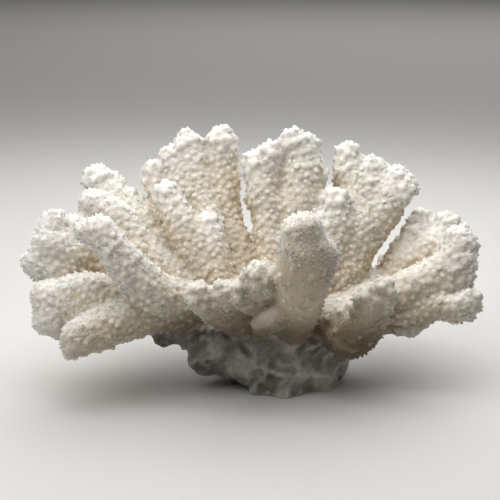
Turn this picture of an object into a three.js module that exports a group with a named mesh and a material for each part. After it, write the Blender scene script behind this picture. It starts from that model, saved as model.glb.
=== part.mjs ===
// A dried stony coral of the cauliflower kind, about 24 cm wide: a low crown of stout, warty
// branches that fan out of one short foot, cut off flat where it was broken from the rock.
// Millimetres, +Z up, +Y away from the viewer. The origin is on the flat cut under the foot.
import * as THREE from "three";

// Driving dimensions
const CELL = 7.18; // pitch of the lattice that the skin is drawn on
const MARGIN = 1.7; // cells of lattice outside the widest knuckles
const FILLET = 5; // how softly stems and branches flow into each other
const WART_RISE = 1.6; // how far a wart's top stands out of the skin
const WART_DIP = 0.5; // how far the skin sinks between warts
const SEAM = 0.6; // clear space between two branches where they part at a fork
const UNDER_CUT = 1.5 * CELL; // how far the lattice runs on below the cut
const CUT_BAND = CELL / 3; // open skin that is lower than this lies flat on the cut
const SKIN_REACH = CELL / 4; // the furthest that a point of the skin is moved onto the stems' outline
const WALL_REACH = CELL / 6; // the furthest that a point of a wall is moved to lie midway
const BARELY = 0.1 * CELL; // the depth of a lattice point that has just changed sides
const DRAW_ROUNDS = 2; // how often points are moved onto the outline
const WALL_ROUNDS = 4; // how often the walls are evened out
const BACK_ROUNDS = 12; // how often a corner is drawn back from all the walls round it
const FOLD_ROUNDS = 20; // how often sharp folds are flattened, at most
const GENTLE_ROUNDS = 8; // how often pinches are mended before branches are merged there

// Every branch is a bundle of stems. A stem is a run of knuckles from its root to its tip, each
// [x, y, z, radius]; side stems start inside the branch's first one and end in a knob of their own.
// Earlier branches keep their whole shape where two meet, so the list runs from the foot outwards.
const FOOT = {
  holdfast: [
    [[2, -1, -4, 27], [1, 0, 16, 27], [-2, 0, 32, 27]],
    [[-16, -5, 12, 18], [-36, -6, 24, 16]],
    [[14, 8, 6, 18], [20, 10, 24, 18]],
  ],
};

const LIMBS = {
  left_limb: [
    [[-14, 0, 28, 18], [-40, -2, 32, 17], [-62, -4, 37, 14]],
    [[-28, 2, 34, 16], [-48, 4, 47, 13]],
  ],
  right_limb: [
    [[14, 0, 28, 18], [38, -4, 35, 16], [58, -6, 44, 13]],
    [[24, 4, 34, 15], [45, 8, 46, 13]],
  ],
};

const FRONT = {
  front_column: [
    [[2, -10, 34, 15], [4, -25, 41, 13], [7, -38, 51, 12], [8, -47, 66, 13], [9, -51, 82, 13],
      [8, -51, 93, 10]],
    [[9, -48, 68, 13], [15, -49, 80, 11]],
    [[5, -42, 54, 9], [-3, -46, 51, 4], [-10, -45, 44, 3]],
  ],
  front_middle_knob: [
    [[-8, -12, 36, 14], [-11, -24, 46, 11], [-12, -35, 57, 10], [-12, -46, 68, 9]],
    [[-14, -38, 56, 9], [-24, -45, 61, 7]],
  ],
  front_left_knob: [
    [[-20, -12, 40, 13], [-26, -28, 46, 11], [-35, -40, 53, 9], [-42, -45, 60, 7]],
    [[-32, -38, 50, 9], [-30, -45, 60, 7]],
  ],
  front_right_knob: [
    [[26, -12, 34, 13], [36, -26, 36, 11], [42, -33, 43, 10], [46, -38, 52, 8], [49, -38, 60, 7]],
    [[26, -12, 37, 13], [33, -21, 40, 11]],
    [[42, -33, 43, 9], [41, -37, 55, 6]],
  ],
};

const LEFT = {
  lower_left_lobe: [
    [[-56, -10, 45, 12], [-82, -20, 49, 13], [-104, -22, 50, 12], [-120, -20, 51, 9]],
    [[-100, -22, 46, 12], [-117, -22, 40, 11]],
    [[-86, -22, 52, 11], [-97, -24, 57, 8], [-109, -23, 57, 7]],
    [[-84, -22, 46, 11], [-100, -26, 43, 10]],
  ],
  left_front_finger: [
    [[-52, -14, 44, 12], [-80, -34, 44, 11], [-94, -41, 40, 11], [-102, -42, 36, 10]],
  ],
  left_front_ridge: [
    [[-46, -10, 44, 12], [-60, -24, 51, 12], [-71, -34, 63, 11], [-82, -38, 79, 9],
      [-91, -37, 91, 8]],
    [[-86, -36, 84, 8], [-98, -32, 90, 6]],
  ],
  left_upper_lobe: [
    [[-56, -4, 46, 13], [-80, 0, 56, 12], [-99, 3, 67, 11], [-117, -1, 79, 9], [-118, -1, 85, 8]],
    [[-98, 4, 68, 11], [-106, 3, 82, 8]],
    [[-100, 2, 64, 11], [-116, -6, 64, 11], [-126, -8, 66, 9]],
    [[-99, 3, 67, 11], [-115, -5, 73, 11], [-120, -6, 75, 10]],
  ],
  left_middle_branch: [
    [[-48, -3, 42, 13], [-60, -5, 56, 12], [-72, -2, 68, 11], [-86, 5, 86, 10], [-99, 8, 94, 8]],
  ],
  left_back_branch: [
    [[-40, 2, 42, 14], [-56, 8, 56, 14], [-68, 14, 68, 13], [-80, 21, 80, 12], [-92, 28, 92, 10],
      [-98, 32, 101, 8]],
    [[-72, 20, 72, 11], [-79, 27, 85, 9], [-82, 29, 91, 7]],
    [[-82, 24, 82, 11], [-88, 33, 94, 7], [-89, 34, 99, 5]],
  ],
};

const MIDDLE = {
  inner_left_blade: [
    [[-24, 0, 42, 13], [-35, -2, 52, 12], [-43, 1, 66, 11], [-52, 7, 82, 10], [-60, 14, 97, 7]],
    [[-36, 0, 60, 11], [-38, 7, 76, 9], [-39, 10, 82, 7]],
  ],
  back_left_fan: [
    [[-24, 8, 46, 14], [-33, 13, 60, 13], [-42, 27, 80, 12], [-47, 39, 100, 11], [-51, 44, 118, 8]],
    [[-46, 30, 84, 11], [-55, 35, 97, 9], [-60, 39, 113, 6]],
    [[-36, 14, 62, 12], [-52, 24, 74, 11], [-65, 34, 94, 8], [-69, 36, 106, 6]],
  ],
  back_finger: [
    [[-14, 10, 44, 13], [-21, 17, 58, 11], [-29, 32, 82, 8], [-31, 41, 102, 9], [-32, 44, 121, 8]],
  ],
  centre_back_fan: [
    [[-2, 2, 42, 15], [-4, 8, 62, 13], [-6, 12, 79, 10], [-10, 17, 98, 8], [-15, 22, 113, 6]],
    [[-11, 16, 94, 9], [-7, 23, 113, 8], [-6, 24, 117, 7]],
    [[4, 2, 46, 15], [5, 10, 66, 13], [9, 14, 84, 12], [10, 18, 100, 11], [9, 24, 115, 9],
      [6, 25, 122, 8]],
    [[13, 20, 104, 9], [13, 26, 121, 7]],
    [[13, 20, 98, 10], [17, 24, 107, 7]],
    [[0, 16, 70, 11], [0, 28, 92, 9], [1, 30, 108, 8]],
  ],
  inner_right_finger: [
    [[14, -2, 44, 12], [22, 2, 58, 12], [26, 5, 72, 11], [28, 8, 84, 10], [28, 10, 94, 8]],
    [[24, 4, 74, 10], [21, 6, 83, 8]],
  ],
};

const RIGHT = {
  right_back_fan: [
    [[22, 4, 44, 14], [29, 5, 54, 14], [35, 10, 66, 13], [41, 14, 78, 13], [42, 24, 92, 12],
      [37, 30, 104, 10], [36, 32, 115, 7]],
    [[46, 24, 92, 12], [49, 29, 107, 8]],
    [[45, 16, 78, 12], [54, 20, 90, 11], [61, 25, 102, 8]],
    [[54, 20, 90, 10], [66, 20, 100, 6]],
  ],
  right_back_branch: [
    [[38, 5, 40, 13], [51, 9, 44, 12], [62, 12, 52, 11], [71, 18, 64, 10], [75, 26, 80, 7]],
    [[65, 13, 56, 11], [81, 16, 68, 11], [89, 21, 79, 7]],
    [[58, 12, 50, 11], [63, 15, 60, 9], [70, 21, 73, 7]],
  ],
  right_front_blade: [
    [[40, -7, 40, 14], [54, -9, 45, 13], [66, -10, 51, 12], [82, -6, 60, 11], [92, 0, 74, 9]],
    [[70, -9, 53, 11], [85, -6, 61, 11], [92, -4, 66, 9]],
    [[68, -10, 52, 12], [82, -8, 55, 11], [90, -6, 58, 9]],
  ],
  lower_right_finger: [
    [[48, -9, 38, 11], [62, -13, 38, 10], [78, -19, 46, 7], [88, -20, 45, 8], [96, -16, 48, 7]],
  ],
};

const REAR = {
  rear_left_branch: [
    [[-22, 12, 40, 14], [-38, 32, 54, 13], [-52, 48, 72, 11], [-61, 59, 88, 9]],
    [[-50, 46, 70, 10], [-44, 58, 80, 7]],
  ],
  rear_middle_branch: [
    [[0, 12, 40, 15], [4, 34, 54, 13], [8, 50, 74, 12], [10, 62, 92, 9]],
    [[8, 48, 72, 11], [20, 60, 82, 7]],
  ],
  rear_right_branch: [
    [[18, 10, 36, 14], [27, 30, 46, 13], [35, 46, 58, 11], [40, 58, 71, 9]],
  ],
  rear_low_right_branch: [
    [[30, 6, 36, 14], [48, 26, 38, 13], [64, 40, 42, 11], [74, 48, 44, 9]],
    [[56, 34, 40, 11], [62, 49, 48, 8]],
  ],
  rear_low_left_branch: [
    [[-40, 2, 36, 14], [-60, 20, 40, 13], [-82, 34, 48, 11], [-95, 42, 52, 9]],
    [[-70, 28, 44, 11], [-72, 46, 46, 8]],
  ],
  rear_outer_left_branch: [
    [[-42, 6, 40, 14], [-60, 26, 48, 12], [-78, 43, 61, 11], [-89, 52, 71, 8]],
  ],
  rear_low_middle_branch: [
    [[-6, 14, 30, 15], [-12, 36, 34, 13], [-18, 54, 38, 11], [-21, 68, 46, 9]],
    [[-16, 50, 38, 10], [-34, 60, 44, 8]],
  ],
};

// Bleached, bone-white skeleton, and the greyer stone of the foot
const BRANCH_FINISH = { color: 0xe2dccf, roughness: 0.9, metalness: 0 };
const FOOT_FINISH = { color: 0xb4aea4, roughness: 0.95, metalness: 0 };

const BRANCHES = Object.entries({ ...FOOT, ...LIMBS, ...FRONT, ...LEFT, ...MIDDLE, ...RIGHT, ...REAR });
const OUTSIDE = -1;

// How far a point lies outside a stem: the nearest stretch between two knuckles, less its radius there.
function outsideStem(p, stem) {
  let nearest = Infinity;
  for (let i = 1; i < stem.length; i++) {
    const [ax, ay, az, ar] = stem[i - 1];
    const [bx, by, bz, br] = stem[i];
    const [dx, dy, dz] = [bx - ax, by - ay, bz - az];
    const along = ((p.x - ax) * dx + (p.y - ay) * dy + (p.z - az) * dz) / (dx * dx + dy * dy + dz * dz);
    const t = THREE.MathUtils.clamp(along, 0, 1);
    const gap = Math.hypot(p.x - ax - t * dx, p.y - ay - t * dy, p.z - az - t * dz);
    nearest = Math.min(nearest, gap - THREE.MathUtils.lerp(ar, br, t));
  }
  return nearest;
}

// The smaller of two depths, rounded off where they are nearly alike.
function flowTogether(a, b) {
  const blend = Math.max(FILLET - Math.abs(a - b), 0);
  return Math.min(a, b) - (blend * blend) / (4 * FILLET);
}

// How far a point lies outside one branch, and outside the whole coral.
function outsideBranch(p, stems) {
  return stems.map((stem) => outsideStem(p, stem)).reduce(flowTogether);
}

function outsideCoral(p) {
  return BRANCHES.map(([, stems]) => outsideBranch(p, stems)).reduce(flowTogether);
}

// The direction in which a depth grows fastest, and how fast.
function slopeOf(depth, p) {
  const step = 0.5;
  const slope = new THREE.Vector3();
  for (const axis of ["x", "y", "z"]) {
    const ahead = p.clone();
    const behind = p.clone();
    ahead[axis] += step;
    behind[axis] -= step;
    slope[axis] = (depth(ahead) - depth(behind)) / (2 * step);
  }
  return slope;
}

// Moves a point onto the surface where a depth is nought, by no more than the given reach.
function drawOnto(depth, p, reach) {
  const slope = slopeOf(depth, p);
  const move = -depth(p) / Math.max(slope.lengthSq(), 0.05);
  p.addScaledVector(slope, THREE.MathUtils.clamp(move, -reach, reach));
}

// The lattice: at each point, how deep it lies and which branch it belongs to.
function makeLattice() {
  const box = new THREE.Box3();
  for (const [x, y, z, r] of BRANCHES.flatMap(([, stems]) => stems.flat())) {
    const reach = r + MARGIN * CELL;
    box.expandByPoint(new THREE.Vector3(x - reach, y - reach, z - reach));
    box.expandByPoint(new THREE.Vector3(x + reach, y + reach, z + reach));
  }
  box.min.z = -UNDER_CUT;
  const size = box.getSize(new THREE.Vector3());
  const [nx, ny, nz] = [size.x, size.y, size.z].map((length) => Math.ceil(length / CELL) + 1);
  const at = (i, j, k) => i + nx * (j + ny * k);
  const place = (i, j, k) => new THREE.Vector3(i, j, k).multiplyScalar(CELL).add(box.min);
  const depth = new Float64Array(nx * ny * nz);
  const owner = new Int16Array(nx * ny * nz).fill(OUTSIDE);
  for (let k = 0; k < nz; k++)
    for (let j = 0; j < ny; j++)
      for (let i = 0; i < nx; i++) {
        const p = place(i, j, k);
        const depths = BRANCHES.map(([, stems]) => outsideBranch(p, stems));
        depth[at(i, j, k)] = Math.max(depths.reduce(flowTogether), -p.z);
        if (depth[at(i, j, k)] < 0) owner[at(i, j, k)] = depths.indexOf(Math.min(...depths));
      }
  const cubes = [];
  for (let k = 0; k < nz - 1; k++)
    for (let j = 0; j < ny - 1; j++)
      for (let i = 0; i < nx - 1; i++) cubes.push([i, j, k]);
  return { nx, ny, nz, at, place, depth, owner, cubes };
}

// A cube's corners, as steps from its lowest one, and the pairs of them that an edge joins
const CORNERS = [0, 1, 2, 3, 4, 5, 6, 7].map((c) => [c & 1, (c >> 1) & 1, c >> 2]);
const EDGES = CORNERS.flatMap((_, a) => [1, 2, 4].filter((bit) => !(a & bit)).map((bit) => [a, a | bit]));

// The chosen corners of a cube, in groups that hang together along its edges, smallest first.
function groupsOf(chosen) {
  const left = new Set(chosen);
  const groups = [];
  for (const first of chosen) {
    if (!left.delete(first)) continue;
    const group = [first];
    for (const a of group)
      for (const bit of [1, 2, 4]) if (left.delete(a ^ bit)) group.push(a ^ bit);
    groups.push(group);
  }
  return groups.sort((a, b) => a.length - b.length);
}

// Gives lattice points to another branch, or to none.
function handOver(lattice, points, newOwner) {
  for (const point of points) {
    lattice.owner[point] = newOwner;
    const depth = newOwner === OUTSIDE ? BARELY : -BARELY;
    if (Math.sign(lattice.depth[point]) !== Math.sign(depth)) lattice.depth[point] = depth;
  }
}

// Mends every cube where a branch would touch itself at no more than a point or an edge. The smallest
// group of corners changes sides. A cube that still pinches after a few rounds is filled by its first
// branch, so the rounds come to an end.
function mendPinches(lattice) {
  const { at, owner, cubes } = lattice;
  let mended = true;
  for (let round = 0; mended; round++) {
    mended = false;
    for (const [i, j, k] of cubes) {
      const cube = CORNERS.map(([a, b, c]) => at(i + a, j + b, k + c));
      for (const branch of new Set(cube.map((point) => owner[point]))) {
        if (branch === OUTSIDE) continue;
        const corners = [0, 1, 2, 3, 4, 5, 6, 7];
        const own = groupsOf(corners.filter((c) => owner[cube[c]] === branch));
        const rest = groupsOf(corners.filter((c) => owner[cube[c]] !== branch));
        if (own.length < 2 && rest.length < 2) continue;
        mended = true;
        if (round >= GENTLE_ROUNDS) {
          const sides = cube.map((point) => owner[point]).filter((side) => side !== OUTSIDE);
          handOver(lattice, cube, Math.min(...sides));
          break;
        }
        if (rest.length > 1) {
          handOver(lattice, rest[0].map((c) => cube[c]), branch);
          continue;
        }
        const around = own[0].flatMap((c) => [1, 2, 4].map((bit) => owner[cube[c ^ bit]]));
        const neighbour = Math.max(...around.filter((other) => other !== branch));
        handOver(lattice, own[0].map((c) => cube[c]), neighbour);
      }
    }
  }
}

// Gives every island of a branch, apart from its largest piece, to a neighbour.
function joinIslands(lattice) {
  const { nx, ny, at, owner } = lattice;
  const steps = [1, -1, at(0, 1, 0), -at(0, 1, 0), at(0, 0, 1), -at(0, 0, 1)];
  const seen = new Uint8Array(owner.length);
  const pieces = BRANCHES.map(() => []);
  owner.forEach((branch, first) => {
    if (branch === OUTSIDE || seen[first]) return;
    const piece = [first];
    seen[first] = 1;
    for (const point of piece)
      for (const step of steps)
        if (owner[point + step] === branch && !seen[point + step]) {
          seen[point + step] = 1;
          piece.push(point + step);
        }
    pieces[branch].push(piece);
  });
  let joined = false;
  for (const [branch, found] of pieces.entries()) {
    found.sort((a, b) => b.length - a.length);
    for (const island of found.slice(1)) {
      const around = island.flatMap((point) => steps.map((step) => owner[point + step]));
      handOver(lattice, island, Math.max(...around.filter((other) => other !== branch)));
      joined = true;
    }
  }
  return joined;
}

// One vertex in every cube that holds more than one owner: on the skin where the cube meets the open,
// and otherwise halfway between the branches that share it.
function makeVertices(lattice) {
  const { at, place, depth, owner, cubes } = lattice;
  const vertices = new Map();
  for (const [i, j, k] of cubes) {
    const cube = CORNERS.map(([a, b, c]) => at(i + a, j + b, k + c));
    const shared = EDGES.filter(([a, b]) => owner[cube[a]] !== owner[cube[b]]);
    if (!shared.length) continue;
    const open = shared.filter(([a, b]) => Math.min(owner[cube[a]], owner[cube[b]]) === OUTSIDE);
    const middle = new THREE.Vector3();
    for (const [a, b] of open.length ? open : shared) {
      const t = open.length ? depth[cube[a]] / (depth[cube[a]] - depth[cube[b]]) : 0.5;
      middle.add(new THREE.Vector3(...CORNERS[a]).lerp(new THREE.Vector3(...CORNERS[b]), t));
    }
    const p = middle.multiplyScalar(CELL / (open.length || shared.length)).add(place(i, j, k));
    const sides = [...new Set(cube.map((point) => owner[point]))].filter((side) => side !== OUTSIDE);
    const flat = open.length > 0 && p.z < CUT_BAND;
    const rim = flat && cube.slice(4).some((point) => owner[point] === OUTSIDE);
    for (let round = 0; round < DRAW_ROUNDS; round++) {
      if (sides.length === 2 && !flat) {
        const [one, other] = sides.map((side) => BRANCHES[side][1]);
        drawOnto((q) => outsideBranch(q, one) - outsideBranch(q, other), p, WALL_REACH);
      }
      if (rim || (open.length && !flat)) drawOnto(outsideCoral, p, SKIN_REACH);
      if (flat) p.z = 0;
    }
    vertices.set(at(i, j, k), { p, open: open.length > 0, flat, sides: sides.length });
  }
  return vertices;
}

// A four-sided face round every lattice edge between two owners: each with the side it belongs to.
function makeFaces(lattice) {
  const { nx, ny, nz, at, owner } = lattice;
  const strides = [at(1, 0, 0), at(0, 1, 0), at(0, 0, 1)];
  const faces = [];
  for (let k = 1; k < nz - 1; k++)
    for (let j = 1; j < ny - 1; j++)
      for (let i = 1; i < nx - 1; i++)
        for (let axis = 0; axis < 3; axis++) {
          const here = at(i, j, k);
          const [low, high] = [owner[here], owner[here + strides[axis]]];
          if (low === high) continue;
          const u = strides[(axis + 1) % 3];
          const v = strides[(axis + 2) % 3];
          const [a, b, c, d] = [here - u - v, here - v, here, here - u];
          if (low !== OUTSIDE) faces.push({ branch: low, ring: [a, b, c, d], inner: high !== OUTSIDE });
          if (high !== OUTSIDE) faces.push({ branch: high, ring: [a, d, c, b], inner: low !== OUTSIDE });
        }
  return faces;
}

// Raises warts on the open skin so that no two are neighbours, which gives each its ring of low ground.
// None stands in the crease between two branches.
function raiseWarts(vertices, faces) {
  const neighbours = new Map([...vertices.keys()].map((key) => [key, new Set()]));
  for (const { ring } of faces)
    ring.forEach((a, n) => {
      const b = ring[(n + 1) % ring.length];
      neighbours.get(a).add(b);
      neighbours.get(b).add(a);
    });
  for (const [key, vertex] of vertices) {
    if (!vertex.open || vertex.flat || vertex.sides > 1) continue;
    vertex.raised = ![...neighbours.get(key)].some((other) => vertices.get(other).raised);
    const outward = slopeOf(outsideCoral, vertex.p).normalize();
    vertex.p.addScaledVector(outward, vertex.raised ? WART_RISE : -WART_DIP);
    vertex.p.z = Math.max(vertex.p.z, 0);
  }
}

// Evens out the walls between branches, inside the coral, where nothing else shapes them.
function easeWalls(vertices, faces) {
  for (let round = 0; round < WALL_ROUNDS; round++) {
    const sums = new Map();
    for (const { ring, inner } of faces) {
      if (!inner) continue;
      const middle = new THREE.Vector3();
      for (const key of ring) middle.addScaledVector(vertices.get(key).p, 1 / ring.length);
      for (const key of ring) sums.set(key, [...(sums.get(key) ?? []), middle]);
    }
    for (const [key, middles] of sums) {
      const vertex = vertices.get(key);
      if (vertex.open) continue;
      vertex.p.set(0, 0, 0);
      for (const middle of middles) vertex.p.addScaledVector(middle, 1 / middles.length);
    }
  }
}

// The two triangles of a four-sided face. The fold runs between its low corners, past a wart's top.
function trianglesOf({ ring: [a, b, c, d] }, vertices) {
  const peak = vertices.get(a).raised || vertices.get(c).raised;
  return peak ? [[b, c, d], [b, d, a]] : [[a, b, c], [a, c, d]];
}

// How far each corner of a branch's walls draws back, so that every triangle there clears half the seam,
// and the corners where the wall is folded too sharply for that.
function drawBacks(faces, vertices) {
  const facings = new Map();
  for (const face of faces.filter(({ inner }) => inner))
    for (const triangle of trianglesOf(face, vertices)) {
      const [a, b, c] = triangle.map((key) => vertices.get(key).p);
      const facing = new THREE.Triangle(a, b, c).getNormal(new THREE.Vector3());
      for (const key of triangle) facings.set(key, [...(facings.get(key) ?? []), facing]);
    }
  const backs = new Map();
  const folded = new Set();
  for (const [key, around] of facings) {
    const back = new THREE.Vector3();
    for (let round = 0; round < BACK_ROUNDS; round++)
      for (const facing of around) {
        const short = SEAM / 2 + back.dot(facing);
        if (short > 0) back.addScaledVector(facing, -short);
        if (vertices.get(key).flat) back.z = 0;
      }
    back.clampLength(0, SEAM);
    if (around.some((facing) => back.dot(facing) > -SEAM / 3)) folded.add(key);
    backs.set(key, back);
  }
  return { backs, folded };
}

// Flattens the walls' sharpest folds by moving their corners to the middle of those around them.
function flattenFolds(vertices, faces) {
  for (let round = 0; round < FOLD_ROUNDS; round++) {
    const folded = new Set();
    for (const branch of BRANCHES.keys())
      for (const key of drawBacks(faces.filter((face) => face.branch === branch), vertices).folded)
        folded.add(key);
    if (!folded.size) return;
    const around = new Map([...folded].map((key) => [key, []]));
    for (const { ring } of faces)
      ring.forEach((key, n) => around.get(key)?.push(vertices.get(ring[(n + 1) % 4]).p.clone()));
    for (const [key, places] of around) {
      const { p, flat } = vertices.get(key);
      for (const place of places) p.addScaledVector(place.sub(p), 0.5 / places.length);
      if (flat) p.z = 0;
    }
  }
}

// One branch's closed skin.
function branchGeometry(faces, vertices) {
  const { backs } = drawBacks(faces, vertices);
  const numbers = new Map();
  const points = [];
  const numberOf = (key) => {
    if (!numbers.has(key)) {
      numbers.set(key, points.length);
      points.push(vertices.get(key).p.clone().add(backs.get(key) ?? new THREE.Vector3()));
    }
    return numbers.get(key);
  };
  const triangles = faces.flatMap((face) => trianglesOf(face, vertices).flat().map(numberOf));
  const geometry = new THREE.BufferGeometry().setFromPoints(points);
  geometry.setIndex(triangles);
  geometry.computeVertexNormals();
  return geometry;
}

const lattice = makeLattice();
do mendPinches(lattice);
while (joinIslands(lattice));
const vertices = makeVertices(lattice);
const faces = makeFaces(lattice);
easeWalls(vertices, faces);
raiseWarts(vertices, faces);
flattenFolds(vertices, faces);

const coral = new THREE.Group();
coral.name = "stony_coral";
BRANCHES.forEach(([name], branch) => {
  const own = faces.filter((face) => face.branch === branch);
  const finish = new THREE.MeshStandardMaterial(name in FOOT ? FOOT_FINISH : BRANCH_FINISH);
  const mesh = new THREE.Mesh(branchGeometry(own, vertices), finish);
  mesh.name = name;
  coral.add(mesh);
});

export default coral;
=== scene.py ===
# A dried stony coral of the cauliflower kind, about 24 cm wide: a low crown of stout, warty branches
# that fan out of one short, broken foot, cut off flat. It stands on a pale floor in soft studio light.
import math

import bmesh
import bpy
import numpy as np
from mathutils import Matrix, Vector, bvhtree, kdtree, noise


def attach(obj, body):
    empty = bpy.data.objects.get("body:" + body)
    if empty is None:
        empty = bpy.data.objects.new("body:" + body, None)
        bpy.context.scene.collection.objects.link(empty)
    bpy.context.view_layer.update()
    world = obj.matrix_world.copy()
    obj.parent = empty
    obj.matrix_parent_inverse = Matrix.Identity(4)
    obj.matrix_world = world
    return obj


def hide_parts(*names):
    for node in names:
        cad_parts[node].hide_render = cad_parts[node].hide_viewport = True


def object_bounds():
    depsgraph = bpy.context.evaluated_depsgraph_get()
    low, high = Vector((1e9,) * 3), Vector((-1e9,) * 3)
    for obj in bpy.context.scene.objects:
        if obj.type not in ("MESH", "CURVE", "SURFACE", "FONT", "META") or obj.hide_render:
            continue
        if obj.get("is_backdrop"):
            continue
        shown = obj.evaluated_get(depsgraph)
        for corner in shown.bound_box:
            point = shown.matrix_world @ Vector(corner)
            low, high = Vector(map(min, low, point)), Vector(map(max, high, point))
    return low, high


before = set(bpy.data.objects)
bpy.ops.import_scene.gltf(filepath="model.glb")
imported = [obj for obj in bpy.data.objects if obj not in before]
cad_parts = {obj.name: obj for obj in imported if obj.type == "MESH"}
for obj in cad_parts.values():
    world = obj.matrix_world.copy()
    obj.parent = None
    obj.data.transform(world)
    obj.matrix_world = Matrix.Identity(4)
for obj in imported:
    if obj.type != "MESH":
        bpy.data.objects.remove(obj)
cad_low, cad_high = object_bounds()

# The foot
# The lump of old skeleton that held the coral to the rock, broken off and cut flat to stand on. Like
# every branch it grows along stems: runs of knuckles from root to tip, each [x, y, z, radius], in mm.
# Those radii reach the warts, and the ground that the warts stand on lies a little lower.
MM = 0.001
RING_STEP = 2.0 * MM
RING_SIDES = 20
WART_ROOM = 0.7 * MM
END_ANGLES = (25, 50, 70, 85)
skeleton = bmesh.new()
STEMS = {}

FOOT = {
    "holdfast": [
        [[2, -1, -4, 27], [1, 0, 16, 27], [-2, 0, 32, 27]],
        [[-16, -5, 12, 18], [-36, -6, 24, 16]],
        [[14, 8, 6, 18], [20, 10, 24, 18]],
    ],
}


def spine(stem):
    """Points every ring step along the smooth line through a stem's knuckles, with the radius there."""
    knuckles = np.array(stem, float) * MM
    padded = np.vstack([2 * knuckles[0] - knuckles[1], knuckles, 2 * knuckles[-1] - knuckles[-2]])
    points = []
    for a, b, c, d in zip(padded, padded[1:], padded[2:], padded[3:]):
        steps = max(2, round(float(np.linalg.norm(c[:3] - b[:3])) / RING_STEP))
        for t in np.arange(steps) / steps:
            bend = 2 * a - 5 * b + 4 * c - d + t * (3 * (b - c) + d - a)
            points.append(b + 0.5 * t * (c - a + t * bend))
    return np.array(points + [knuckles[-1]])


def grow(name, stems):
    """Sweeps each stem of a branch as a tube with rounded ends, into the skeleton."""
    STEMS[name] = stems
    for stem in stems:
        line = spine(stem)
        line[:, 3] -= WART_ROOM
        ends = [(line[0], line[0, :3] - line[1, :3]), (line[-1], line[-1, :3] - line[-2, :3])]
        caps = []
        for end, outward in ends:
            outward = outward / np.linalg.norm(outward)
            cap = []
            for angle in np.radians(END_ANGLES):
                place = end[:3] + outward * end[3] * math.sin(angle)
                cap.append([*place, end[3] * math.cos(angle)])
            caps.append(cap)
        line = np.array(caps[0][::-1] + line.tolist() + caps[1])
        rings = []
        side = Vector((0, 1, 0))
        for i, (x, y, z, r) in enumerate(line.tolist()):
            ahead = line[min(i + 1, len(line) - 1), :3] - line[max(i - 1, 0), :3]
            ahead = Vector(ahead).normalized()
            side = (side - ahead * side.dot(ahead)).normalized()
            other = ahead.cross(side)
            ring = []
            for corner in range(RING_SIDES):
                turn = math.tau * corner / RING_SIDES
                place = Vector((x, y, z)) + r * math.cos(turn) * side + r * math.sin(turn) * other
                ring.append(skeleton.verts.new(place))
            rings.append(ring)
        for low, high in zip(rings, rings[1:]):
            for i in range(RING_SIDES):
                j = (i + 1) % RING_SIDES
                skeleton.faces.new([low[i], low[j], high[j], high[i]])
        skeleton.faces.new(rings[0][::-1])
        skeleton.faces.new(rings[-1])


for name, stems in FOOT.items():
    grow(name, stems)

# The limbs
# Two thick, low limbs that run out of the foot to either side and carry the sides of the crown.
LIMBS = {
    "left_limb": [
        [[-14, 0, 28, 18], [-40, -2, 32, 17], [-62, -4, 37, 14]],
        [[-28, 2, 34, 16], [-48, 4, 47, 13]],
    ],
    "right_limb": [
        [[14, 0, 28, 18], [38, -4, 35, 16], [58, -6, 44, 13]],
        [[24, 4, 34, 15], [45, 8, 46, 13]],
    ],
}
for name, stems in LIMBS.items():
    grow(name, stems)

# The front branches
# One tall upright column with a rounded top, and three short knobby branches round its foot.
FRONT = {
    "front_column": [
        [[2, -10, 34, 15], [4, -25, 41, 13], [7, -38, 51, 12], [8, -47, 66, 14], [9, -51, 82, 14],
         [8, -51, 92, 11.5]],
        [[9, -48, 68, 13], [15, -49, 80, 11]],
        [[5, -42, 54, 9], [-4, -45, 49, 7], [-11, -43, 44, 6]],
    ],
    "front_middle_knob": [
        [[-8, -12, 36, 14], [-11, -24, 46, 11], [-12, -35, 57, 10], [-12, -46, 68, 9]],
        [[-14, -38, 56, 9], [-24, -45, 61, 7]],
    ],
    "front_left_knob": [
        [[-20, -12, 40, 13], [-26, -28, 46, 11], [-35, -40, 53, 9], [-42, -45, 60, 7]],
        [[-32, -38, 50, 9], [-30, -45, 60, 7]],
    ],
    "front_right_knob": [
        [[26, -12, 34, 13], [36, -26, 36, 11], [42, -33, 43, 10], [46, -38, 52, 8], [49, -38, 60, 7]],
        [[26, -12, 37, 13], [33, -21, 40, 11]],
        [[42, -33, 43, 9], [41, -37, 55, 6]],
    ],
}
for name, stems in FRONT.items():
    grow(name, stems)

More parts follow.
